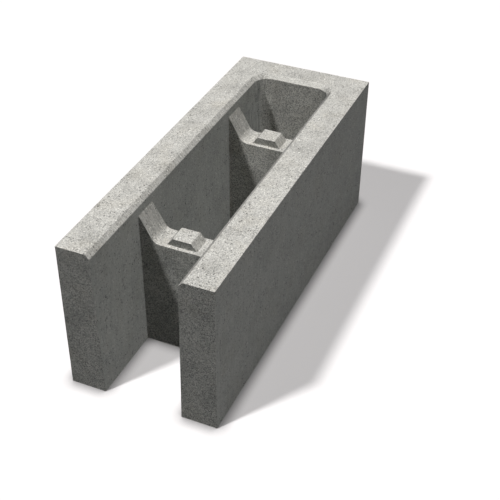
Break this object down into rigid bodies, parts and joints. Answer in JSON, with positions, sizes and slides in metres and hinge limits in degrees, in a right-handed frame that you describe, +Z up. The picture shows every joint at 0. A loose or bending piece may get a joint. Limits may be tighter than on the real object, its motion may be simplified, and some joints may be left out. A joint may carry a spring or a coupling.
{
  "type": "concrete formwork block",
  "caption": "Hollow concrete formwork block, open at one end, with saddle-shaped cross webs and raised centre nubs, laid dry and filled with poured concrete and reinforcement.",
  "frame": {"origin": "middle of the base that the block stands on", "axes": "+Z up, +Y along the block towards its closed end, +X across the block"},
  "size_m": [0.19, 0.5, 0.2],
  "materials": {
    "concrete": "matte"
  },
  "bodies": {
    "root": {"formwork_block": "concrete"}
  },
  "joints": []
}
